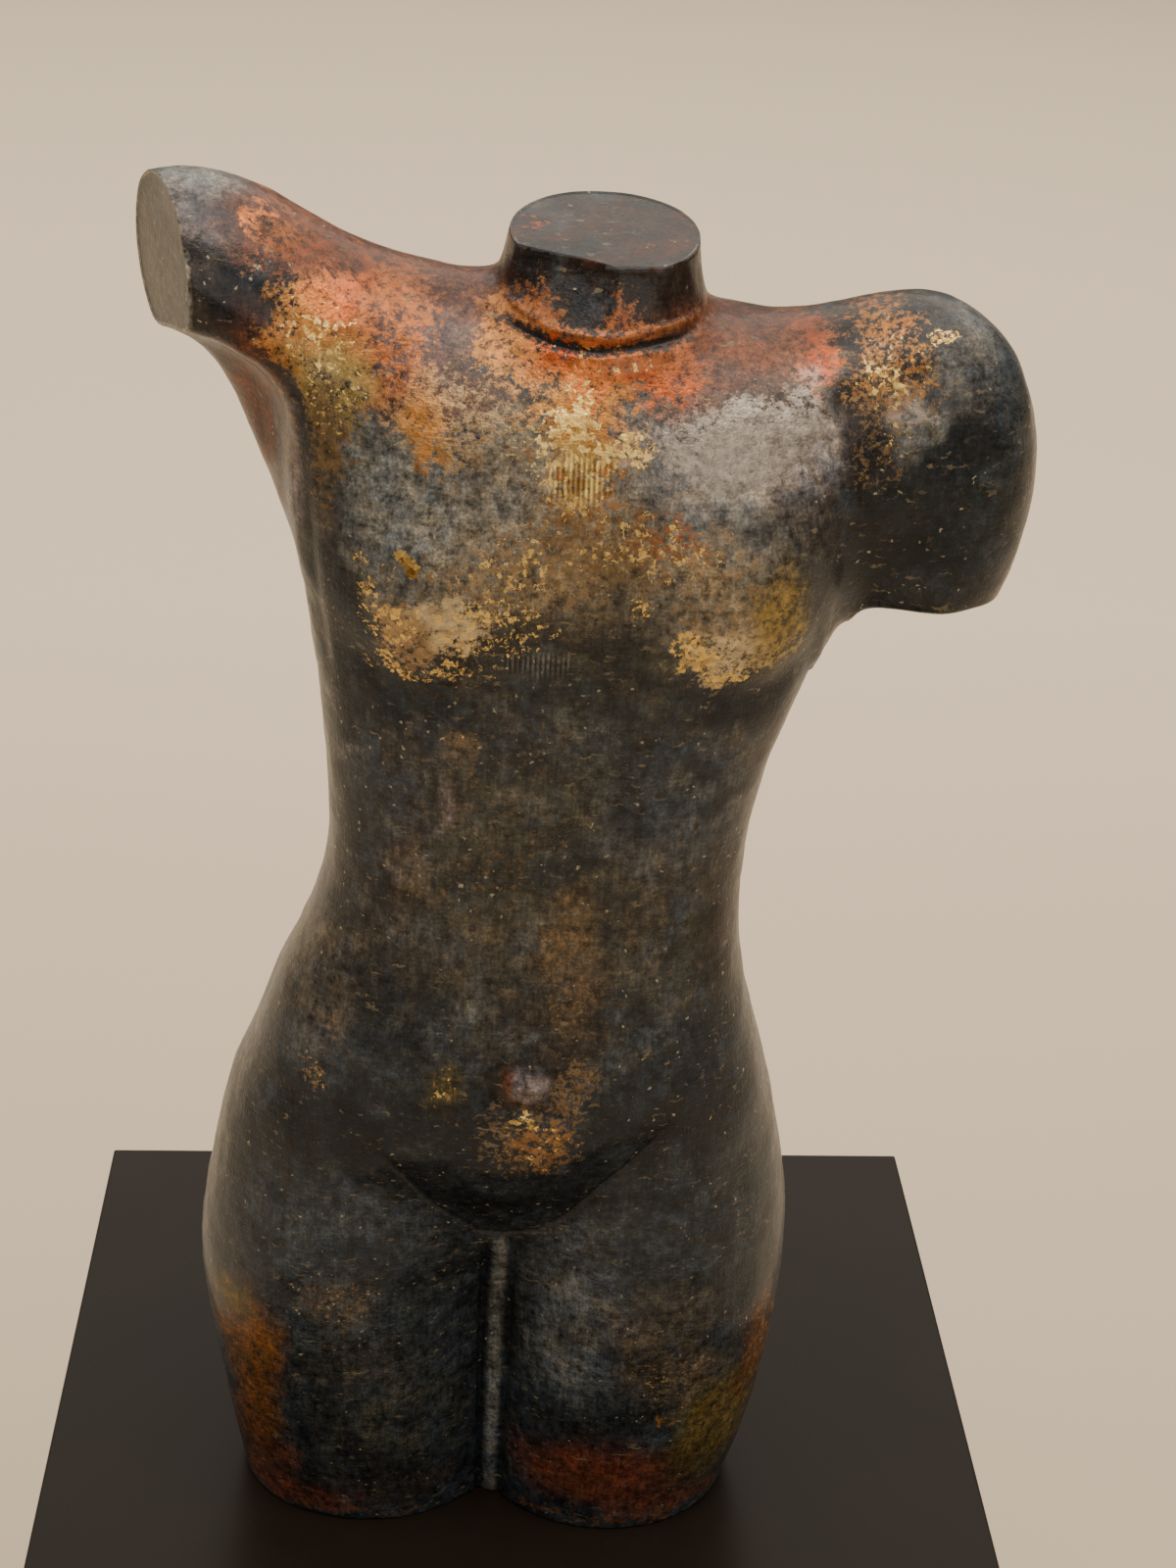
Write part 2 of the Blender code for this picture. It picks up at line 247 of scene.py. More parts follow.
# The navel is a rough knob with a dark hollow on its left: place across and up, half width, half height, rise.
NAVEL = (
    (11, 292, 17, 14, 0.9), (12, 295, 10, 7.5, 2.4), (17, 301, 4, 3, 0.8), (-4, 291, 4, 6, -2.8),
    (11, 283, 9, 3, -1.5), (24, 296, 3, 7, -1.0), (9, 277, 6, 4, 0.9),
)
NAVEL_LUMPS = 4.6
NAVEL_ROUGHNESS = 0.45
# The paring of the neck starts at this height and reaches its full depth over this run.
NECK_PARED_FROM = 638
NECK_PARED_RUN = 24


def model_skin(mesh):
    points, normals = read_skin(mesh)
    points = points + normals * sum(height * lumps(points, size, seed) for height, size, seed in UNEVEN)[:, None]
    for route, half_width, depth, fade in GROOVES:
        points = groove(points, normals, route, half_width, depth, fade)
    # The rounder the skin at the arm's rim, the more it is filled out.
    across, up = points[:, 0], points[:, 2]
    steepest = np.maximum(np.hypot(normals[:, 0], normals[:, 1]), -normals[:, 2])
    rim = (across > ARM_RIM_INSIDE) & (up < ARM_RIM_FROM) & (up > ARM_RIM_TO) & (normals[:, 2] < 0)
    corner = ARM_RIM_FILL * (1 / np.clip(steepest, 0.7, 1.0) - 1)
    points = points + normals * (corner * rim * soft((ARM_RIM_FROM - up) / 12))[:, None]
    across, up = points[:, 0], points[:, 2]
    stretch = soft((across - ARM_INSIDE) / 8) * soft((ARM_DROP_FROM - up) / 46) * (up > ARM_RIM_TO - 10)
    points[:, 2] -= ARM_DROP * stretch
    front = soft(-normals[:, 1] * 1.8)
    rough = lumps(points, NAVEL_LUMPS, 12)
    for across, up, wide, high, rise in NAVEL:
        fall = np.exp(-((points[:, 0] - across) / wide) ** 2 - ((points[:, 2] - up) / high) ** 2)
        points = points + normals * (fall * rise * front * (1 + NAVEL_ROUGHNESS * rough))[:, None]
    rim = np.interp(points[:, 0], NECK_ACROSS, NECK_FRONT)
    inside = (points[:, 0] > NECK_ACROSS[0]) * (points[:, 0] < NECK_ACROSS[-1])
    pared = np.clip((points[:, 2] - NECK_PARED_FROM) / NECK_PARED_RUN, 0.0, 1.0) * inside
    points[:, 1] += pared * np.clip(rim - points[:, 1], 0.0, None)
    write_skin(mesh, points)


# A sawn face is divided into squares, and its rim is worn: each step's width and drop, all in millimetres.
SQUARE = 3.5
SQUARES = 14
RIM_WEAR = ((0.9, 0.45), (0.6, 0.12))
# A cut moves points that lie closer than this to its plane into it, in metres, so that no slivers are left.
NO_SLIVER = 0.0007
SQUARE_SNAP = 0.0001


def quarter(skin, cap, place, out):
    """Divide a sawn face into small squares, so that paint can lie inside it."""
    sideways = out.orthogonal().normalized()
    for heading in (sideways, out.cross(sideways)):
        for step in range(-SQUARES, SQUARES + 1):
            edges = {e for f in cap for e in f.edges}
            verts = {v for f in cap for v in f.verts}
            split = bmesh.ops.bisect_plane(skin, geom=list(cap) + list(edges) + list(verts), dist=SQUARE_SNAP,
                                           plane_co=place + heading * step * SQUARE * MM, plane_no=heading)["geom"]
            cap = [item for item in split if isinstance(item, bmesh.types.BMFace)]


def saw(mesh):
    """Cut the spare ends off at the true planes, close them, and wear each rim a little."""
    skin = bmesh.new()
    skin.from_mesh(mesh)
    for name, point, facing, reach in SAWN:
        place = SEAT + Vector(point) * MM
        out = Vector(facing).normalized()
        verts = [v for v in skin.verts if near_cut(v.co, place, reach)]
        inside = set(verts)
        edges = [e for e in skin.edges if e.verts[0] in inside and e.verts[1] in inside]
        faces = [f for f in skin.faces if all(v in inside for v in f.verts)]
        cut = bmesh.ops.bisect_plane(skin, geom=verts + edges + faces, dist=NO_SLIVER, plane_co=place, plane_no=out,
                                     use_snap_center=True, clear_outer=True)["geom_cut"]
        rim = [e for e in cut if isinstance(e, bmesh.types.BMEdge) and e.is_valid and e.is_boundary]
        cap = bmesh.ops.contextual_create(skin, geom=rim)["faces"]
        for wide, deep in RIM_WEAR:
            old = {v for f in cap for v in f.verts}
            bmesh.ops.inset_region(skin, faces=cap, thickness=wide * MM, use_even_offset=True)
            bmesh.ops.translate(skin, vec=-out * deep * MM, verts=list(old))
        for edge in {e for f in cap for e in f.edges}:
            edge.smooth = False
        if name != "base":
            quarter(skin, cap, place, out)
    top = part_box("torso")[1].z
    for vert in skin.verts:
        vert.co.z = min(vert.co.z, top)
    bmesh.ops.recalc_face_normals(skin, faces=skin.faces)
    skin.to_mesh(mesh)
    skin.free()


def weigh(worker, weights):
    """A vertex group that holds the weights in ten steps, for the next modifier."""
    group = worker.vertex_groups.new(name="hand")
    for level in range(1, 11):
        chosen = np.nonzero(np.rint(weights * 10) == level)[0].tolist()
        if chosen:
            group.add(chosen, level / 10, "REPLACE")


# Where the facets are made smaller: along the fine lines, and round the navel.
FINE_LINES = ((COLLAR, 5.0), (COLLAR_CREASE, 5.0), (GROIN, 3.6), (CLEFT_LEFT, 4.0), (CLEFT_RIGHT, 4.0))
NAVEL_MIDDLE = (11, 295)
NAVEL_REACH = 20


def refine(mesh):
    """Smaller facets along the fine lines and round the navel."""
    points, normals = read_skin(mesh)
    front = normals[:, 1] < 0.25
    fine = np.hypot(points[:, 0] - NAVEL_MIDDLE[0], points[:, 2] - NAVEL_MIDDLE[1]) < NAVEL_REACH
    for route, reach in FINE_LINES:
        fine |= along(points, route, 1.0)[0] < reach
    fine &= front
    skin = bmesh.new()
    skin.from_mesh(mesh)
    skin.verts.ensure_lookup_table()
    edges = [e for e in skin.edges if fine[e.verts[0].index] and fine[e.verts[1].index]]
    bmesh.ops.subdivide_edges(skin, edges=edges, cuts=1, use_grid_fill=True)
    skin.to_mesh(mesh)
    skin.free()


# How often the skin is rubbed smooth and the groin wiped, and how far the wipe reaches. Then the share of the
# facets that is left behind the figure, from how far back, and how far from the two upper cuts.
RUBS = 26
WIPES = 200
WIPE_REACH = 28
BACK_SHARE = 0.68
BACK_FROM = 12
CUTS_KEPT = 62
torso = bpy.data.objects.new("torso_figure", take_cast(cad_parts["torso"]))
bpy.context.scene.collection.objects.link(torso)
skin_step = torso.modifiers.new("even skin", "REMESH")
skin_step.mode = "VOXEL"
skin_step.voxel_size = GRAIN
settle(torso)
weigh(torso, keep_crisp(read_skin(torso.data)[0]))
rub = torso.modifiers.new("rubbed smooth", "SMOOTH")
rub.factor = 0.5
rub.iterations = RUBS
rub.vertex_group = "hand"
settle(torso)
# The hollow of the groin was filled and wiped nearly level.
points, normals = read_skin(torso.data)
away, weight = along(points, GROIN_WIDE, 20.0)
weigh(torso, soft(1.3 - away / WIPE_REACH) * weight * (points[:, 1] < 0))
wipe = torso.modifiers.new("wiped level", "SMOOTH")
wipe.factor = 0.5
wipe.iterations = WIPES
wipe.vertex_group = "hand"
settle(torso)
# The back is plainer, so it needs fewer facets.
points, normals = read_skin(torso.data)
plain = soft((points[:, 1] - BACK_FROM) / 14) * (points[:, 2] > 12)
for _, point, _, _ in SAWN[:2]:
    plain = plain * (np.linalg.norm(points - np.array(point), axis=1) > CUTS_KEPT)
weigh(torso, plain)
thin = torso.modifiers.new("larger facets behind", "DECIMATE")
thin.ratio = BACK_SHARE
thin.vertex_group = "hand"
settle(torso)
refine(torso.data)
model_skin(torso.data)
saw(torso.data)
torso.data.shade_smooth()


# The patina was painted on by hand: thin dull glazes first, then metal powder in a binder, which broke up into
# grains as it dried, and last gold leaf and a few spattered flecks. Each dab is one load of the brush: its colour,
# its middle on the skin, its half width and half height, and its strength. A few dabs stand for light: painted
# sheen on the chest, a painted highlight on the navel and partly on the raised arm's shoulder, and painted shade
# under the breasts and at the right hip and waist.
def linear(colour):
    """sRGB hex to linear, with alpha one."""
    parts = [int(colour[i:i + 2], 16) / 255 for i in (1, 3, 5)]
    return [c / 12.92 if c <= 0.04045 else ((c + 0.055) / 1.055) ** 2.4 for c in parts] + [1.0]


GLAZES = {
    "slate": "#272d31",
    "ink": "#10161c",
    "blue": "#343b42",
    "grey": "#616260",
    "mauve": "#645b5d",
    # haze, a pale grey, is painted sheen on the chest and a painted highlight on the navel.
    "haze": "#968b85",
    "umber": "#2f2822",
    "coffee": "#1f1510",
    "olive": "#3b3a32",
    "moss": "#57481c",
    "tan": "#594e40",
    "fawn": "#75664f",
    "earth": "#664e2f",
    "rust": "#5e3320",
    "brick": "#582b1c",
    "burnt": "#60390f",
    "teal": "#222e30",
}
DABS = (
    # Ground of the belly and the chest.
    ("olive", 26, -61, 423, 80, 112, 0.85), ("olive", 13, -71, 543, 66, 50, 0.8),
    ("fawn", 18, -66, 570, 84, 40, 0.75), ("fawn", -46, -70, 548, 24, 16, 0.8),
    ("grey", 86, -72, 548, 30, 34, 0.65), ("fawn", 84, -74, 540, 22, 26, 0.75),
    ("grey", -46, -70, 558, 28, 28, 0.5), ("mauve", 118, -46, 600, 18, 28, 0.6),
    # Belly, flanks and hips.
    ("umber", -59, -49, 399, 24, 54, 0.5), ("umber", 74, -56, 408, 30, 54, 0.65),
    # The first dab on the next line, ink at 128 across, is painted shade on the right hip's edge.
    ("ink", 128, -28, 240, 14, 90, 0.7), ("blue", 15, -64, 474, 69, 20, 0.5), ("blue", -52, -60, 440, 18, 42, 0.75),
    ("blue", 72, -59, 440, 30, 36, 0.8), ("slate", -72, -40, 448, 18, 46, 0.7),
    ("ink", -118, -24, 232, 26, 70, 0.6), ("ink", -100, -52, 262, 26, 26, 0.5),
    ("earth", -45, -60, 402, 10, 18, 0.28), ("mauve", -29, -61, 432, 3, 13, 0.9), ("tan", -21, -64, 466, 8, 6, 0.9),
    ("blue", 34, -62, 348, 8, 10, 0.7), ("grey", -12, -64, 334, 6, 4, 0.6), ("earth", 31, -62, 353, 14, 42, 0.5),
    ("tan", -22, -60, 362, 30, 20, 0.3), ("moss", -26, -68, 290, 10, 14, 0.7),
    # Round the navel and over the groin.
    ("umber", 20, -70, 320, 34, 34, 0.5), ("ink", -59, -66, 262, 56, 28, 0.9),
    ("slate", 104, -50, 236, 44, 60, 0.7), ("ink", 10, -66, 216, 44, 16, 1.0), ("ink", -30, -62, 232, 26, 16, 0.9),
    ("ink", 91, -58, 281, 22, 40, 0.8), ("ink", 58, -64, 258, 28, 22, 0.8), ("ink", -52, -66, 250, 60, 40, 0.45),
    ("ink", 70, -60, 262, 50, 44, 0.45),
    # Thighs.
    ("blue", -73, -62, 196, 46, 40, 0.8), ("slate", 60, -60, 205, 44, 30, 0.7),
    ("burnt", -121, -41, 118, 17, 34, 0.95), ("moss", -128, -38, 146, 10, 9, 0.9),
    ("burnt", -118, -38, 62, 11, 34, 0.85), ("rust", -112, -36, 30, 16, 20, 0.8),
    ("tan", -74, -61, 160, 18, 16, 0.42), ("tan", -66, -60, 118, 22, 18, 0.3), ("olive", -50, -56, 70, 34, 30, 0.7),
    ("umber", -60, -48, 26, 46, 14, 0.8), ("brick", -100, -42, 14, 30, 9, 0.8), ("blue", 38, -60, 150, 26, 58, 0.9),
    ("grey", 36, -60, 142, 20, 52, 0.5), ("tan", 84, -62, 146, 26, 24, 0.5), ("tan", 90, -60, 112, 24, 18, 0.5),
    ("moss", 118, -45, 74, 24, 28, 0.8), ("burnt", 134, -33, 108, 9, 32, 0.8), ("moss", 108, -50, 44, 24, 18, 0.7),
    ("brick", 56, -58, 40, 40, 22, 0.95), ("rust", 92, -50, 16, 30, 9, 0.8),
    # Chest and breasts.
    ("grey", -55, -61, 578, 18, 30, 0.7), ("grey", -22, -66, 572, 36, 32, 0.45),
    # The two haze dabs on the right of the chest are painted sheen, a soft reflection on the varnish.
    ("haze", 84, -56, 600, 38, 22, 0.8), ("haze", 118, -45, 604, 15, 22, 0.85), ("grey", 63, -66, 580, 34, 16, 0.5),
    ("ink", 114, -63, 562, 20, 26, 0.4), ("slate", 62, -66, 604, 26, 14, 0.7), ("umber", 6, -70, 520, 36, 11, 0.5),
    # The slate dab at 486 up and the ink dab at 480 up, below, are painted shadow under the breasts.
    ("grey", 8, -70, 508, 15, 4, 0.7), ("ink", 4, -66, 498, 44, 11, 0.6), ("slate", -42, -60, 486, 40, 12, 0.9),
    ("ink", 104, -48, 480, 26, 12, 0.9), ("ink", -70, -52, 528, 11, 42, 0.85), ("grey", -60, -66, 560, 12, 20, 0.7),
    # The raised arm and its shoulder.
    ("rust", -53, 0, 655, 44, 22, 0.95), ("rust", -25, -11, 645, 28, 18, 0.9),
    ("mauve", -36, -36, 630, 20, 13, 0.5), ("rust", -36, -44, 616, 27, 12, 0.6),
    ("ink", -113, -42, 650, 22, 25, 1.0), ("coffee", -104, -44, 632, 16, 12, 0.9),
    ("umber", -126, -40, 663, 8, 27, 0.8), ("mauve", -123, -27, 681, 17, 13, 0.8),
    ("grey", -120, -6, 689, 27, 6, 0.7), ("rust", -98, -14, 676, 22, 13, 0.8),
    # Below the collar and over the other shoulder.
    ("teal", -7, -40, 625, 11, 5, 1.0), ("rust", 92, -29, 628, 36, 17, 0.85), ("rust", 76, -17, 640, 26, 12, 0.8),
    ("umber", 108, -38, 612, 28, 9, 0.8), ("umber", 148, -8, 644, 26, 12, 0.75),
    ("grey", 182, -32, 627, 14, 20, 0.5),
    # The hanging arm.
    ("ink", 176, -38, 560, 34, 46, 1.0), ("ink", 145, -40, 530, 15, 28, 1.0), ("ink", 138, -40, 518, 10, 16, 1.0),
    ("teal", 178, -38, 556, 34, 44, 0.3), ("grey", 161, -39, 604, 11, 13, 0.8),
    ("coffee", 141, -38, 600, 10, 24, 0.85), ("slate", 203, -30, 600, 10, 60, 0.8),
    # Side of the breast, flanks and under the raised arm.
    ("moss", 108, -65, 525, 12, 24, 0.75), ("tan", -84, -42, 332, 20, 24, 0.6),
    # The coffee dab at 101 across on the next line is painted shade on the right waist's edge.
    ("coffee", 101, -38, 359, 14, 34, 0.7), ("rust", -108, -8, 592, 14, 46, 0.95),
    ("mauve", -94, -26, 580, 5, 36, 0.8),
    # Neck.
    ("coffee", 33, -30, 658, 48, 16, 1.0), ("coffee", 33, 0, 669, 60, 4, 0.9), ("rust", 33, 0, 669, 60, 4, 0.2),
    # Navel. The small haze dab on the knob is a painted highlight.
    ("coffee", 11, -66, 295, 15, 12, 0.9), ("coffee", -4, -60, 292, 6, 8, 0.9), ("mauve", 12, -72, 295, 8, 8, 0.75),
    ("haze", 15, -73, 298, 4, 4, 0.25), ("rust", 3, -71, 295, 3, 6, 0.8),
)
POWDERS = {
    "amber": "#c0803f",
    "copper": "#ac6436",
    "ember": "#c65422",
    "salmon": "#df7f3f",
    "ochre": "#a98b65",
    "bronze": "#80684a",
    "champagne": "#ccb791",
    "olive gold": "#a0874a",
    "oxblood": "#753f2d",
    # The pale metal powder that also lays the painted sheen on the chest.
    "pewter_sheen": "#a5988b",
}
POWDER_DABS = (
    # The raised arm's shoulder. Its two salmon dabs are bright copper powder and partly a painted highlight, where
    # the shoulder catches the light.
    ("copper", -91, -11, 673, 16, 14, 0.5), ("salmon", -105, -23, 676, 5, 4.5, 0.7),
    ("oxblood", -70, -8, 660, 34, 13, 0.5), ("oxblood", -30, -14, 648, 30, 12, 0.42),
    ("amber", -84, -38, 634, 22, 17, 0.85), ("copper", -56, -34, 630, 22, 24, 0.65),
    ("salmon", -76, -27, 650, 9, 8, 0.62), ("ember", -68, -26, 648, 7, 8, 0.3),
    ("olive gold", -77, -46, 612, 18, 20, 0.6), ("bronze", -80, -48, 592, 14, 26, 0.6),
    # Below the collar.
    ("ochre", -26, -54, 604, 27, 16, 0.6), ("amber", -38, -52, 602, 7, 16, 0.6),
    ("amber", -3, -34, 631, 16, 12, 0.75), ("amber", 25, -52, 612, 24, 22, 0.66),
    ("ember", 31, -41, 629, 26, 10, 0.68), ("salmon", 27, -46, 622, 8, 14, 0.8),
    ("copper", 54, -38, 627, 22, 9, 0.7), ("ember", 56, -44, 618, 18, 7, 0.36),
    ("amber", 25, -62, 586, 18, 22, 0.5),
    # The other shoulder.
    ("copper", 120, -26, 626, 13, 12, 0.46), ("ember", 121, -25, 626, 8, 9, 0.56),
    ("oxblood", 92, -26, 634, 32, 12, 0.46), ("copper", 148, -22, 642, 16, 8, 0.4),
    ("amber", 152, -30, 624, 18, 18, 0.48), ("bronze", 148, -36, 598, 14, 22, 0.4),
    ("pewter_sheen", 161, -39, 605, 8, 6, 0.6),
    # Chest and breasts. The first two dabs, of pale metal powder, are painted sheen on the right of the chest.
    ("pewter_sheen", 86, -58, 598, 34, 17, 0.9), ("pewter_sheen", 114, -48, 606, 12, 14, 0.7),
    ("ochre", 6, -72, 549, 44, 18, 0.45), ("copper", 62, -69, 563, 22, 12, 0.5),
    ("bronze", 30, -72, 560, 34, 20, 0.35), ("ochre", 84, -74, 540, 22, 24, 0.36),
    ("champagne", -30, -75, 524, 19, 15, 0.95), ("ochre", -46, -72, 516, 10, 18, 0.6),
    ("champagne", 88, -70, 512, 20, 14, 0.66), ("olive gold", 108, -65, 525, 11, 22, 0.6),
    # Belly and navel.
    ("bronze", 14, -74, 268, 24, 22, 0.5), ("amber", 20, -74, 262, 16, 14, 0.25),
    ("bronze", 32, -70, 292, 9, 16, 0.55), ("bronze", 30, -62, 350, 14, 40, 0.3),
    ("ochre", -86, -54, 290, 8, 9, 0.36), ("olive gold", -26, -68, 292, 9, 12, 0.3),
    ("bronze", -10, -64, 420, 40, 60, 0.16),
    # Thighs and base.
    ("ochre", -74, -61, 158, 18, 15, 0.3), ("ochre", 92, -60, 112, 20, 14, 0.35), ("amber", 86, -59, 80, 6, 5, 0.7),
    ("olive gold", 120, -44, 66, 18, 26, 0.3), ("amber", 136, -30, 112, 6, 32, 0.4),
    ("copper", -120, -36, 46, 6, 30, 0.3), ("copper", -70, -45, 6, 50, 4, 0.4), ("copper", 60, -55, 6, 50, 5, 0.45),
    ("oxblood", 52, -58, 34, 32, 16, 0.35),
    # Neck.
    ("copper", 8, -26, 646, 10, 7, 0.45), ("copper", 44, -36, 645, 9, 6, 0.45),
    ("copper", 30, -40, 640, 44, 4, 0.4),
)
# Where leaf was laid, and where small pale flecks were spattered on: middle, half width, half height, strength.
LEAF = (
    (20, -60, 600, 12, 13, 0.68), (38, -60, 597, 16, 6, 0.6), (24, -65, 584, 13, 10, 0.76),
    (12, -57, 598, 22, 18, 0.38), (25, -54, 610, 8, 8, 0.5), (-80, -38, 634, 18, 15, 0.4),
    (-76, -48, 612, 14, 16, 0.42), (-46, -71, 551, 6, 5, 1.0), (-62, -68, 538, 4, 16, 0.55),
    (-52, -69, 520, 8, 22, 0.5), (-34, -69, 500, 26, 6, 0.52), (-30, -75, 524, 16, 14, 0.3),
    (-6, -73, 520, 30, 14, 0.36), (-8, -75, 544, 18, 14, 0.36), (76, -72, 514, 10, 9, 0.72),
    (92, -66, 502, 13, 5, 0.66), (52, -70, 534, 6, 7, 0.62), (62, -68, 560, 24, 16, 0.36),
    (20, -72, 560, 30, 18, 0.3), (156, -28, 628, 16, 16, 0.27), (169, -28, 636, 4, 3, 0.85),
    (148, -32, 620, 8, 4, 0.36), (152, -38, 602, 12, 20, 0.26), (-83, -55, 291, 3, 9, 0.56),
    (10, -75, 277, 7, 5, 0.6), (20, -74, 262, 22, 14, 0.3), (-22, -64, 468, 8, 6, 0.3),
    (-26, -68, 292, 9, 12, 0.27), (30, -48, 626, 26, 8, 0.34), (92, -60, 112, 22, 14, 0.28),
)
FLECKS = (
    (-128, -43, 650, 6, 14, 0.9), (-102, -43, 648, 16, 14, 0.5), (-74, -61, 150, 26, 26, 0.4),
    (165, -38, 545, 26, 40, 0.3), (-58, -60, 430, 24, 70, 0.16), (20, -64, 440, 90, 110, 0.14),
    (-50, -60, 190, 70, 60, 0.14), (104, -50, 260, 40, 60, 0.2), (-20, -55, 214, 26, 14, 0.5),
    (40, -60, 200, 50, 30, 0.15), (90, -60, 120, 26, 40, 0.4), (-10, -72, 512, 30, 16, 0.4),
)


# A dab's outline wanders: lumps of this size, by how much, and their seeds.
WANDER = ((22.0, 6.0, (4, 5, 6)), (8.0, 5.0, (7, 8, 9)))
# The ground coat turns from slate to umber between these heights.
GROUND_FROM = 330
GROUND_TO = 650
# On the dark ground one glaze shows through the next in ragged patches, 10 to 30 mm across: glaze, size, seed,
# threshold and strength. Two lie on all of it, and two only on the belly.
RAGGED = (("ink", 20.0, 14, 0.1, 0.6), ("blue", 16.0, 15, 0.22, 0.4))
RAGGED_BELLY = (("tan", 13.0, 16, 0.28, 0.36), ("grey", 9.0, 17, 0.4, 0.32))
BELLY_LOW = 295
BELLY_HIGH = 520
# Dark glaze ran into the fine lines, and along the breasts' lower edges wider bands are painted shadow: route,
# half width and strength.
DARK_LINES = (
    (GROIN, 2.2, 0.7), (CLEFT_LEFT, 3.0, 0.9), (CLEFT_RIGHT, 2.4, 0.6), (ARMPIT, 3.0, 0.7),
    (COLLAR_CREASE, 2.0, 0.9), (BREAST_LEFT, 7.0, 0.5), (BREAST_RIGHT, 7.0, 0.5),
)
STUMP_PALE = "#8a8379"
STUMP_DARK = "#6b655c"
# Three short dabs of copper on the neck's top: where they lie across and deep, and their half width and depth.
NECK_DABS = ((3, 14), (8, 9), (5, 3))
NECK_DAB_SIZE = (4.2, 2.0)


def dab_weight(points, across, deep, up, wide, high):
    """A dab's ellipse on the skin, with a short soft edge. It doesn't reach through to the other side."""
    gap = np.sqrt(((points[:, 0] - across) / wide) ** 2 + ((points[:, 2] - up) / high) ** 2)
    return soft((1.5 - gap) / 1.0) * (1 - soft((np.abs(points[:, 1] - deep) - 25) / 35))


def lay(colour, weight, pigment):
    return colour * (1 - weight[:, None]) + np.outer(weight, linear(pigment))


def keep_layer(mesh, name, values):
    values[:, 3] = 1.0
    layer = mesh.color_attributes.new(name, "FLOAT_COLOR", "POINT")
    layer.data.foreach_set("color", values.astype(np.float32).ravel())


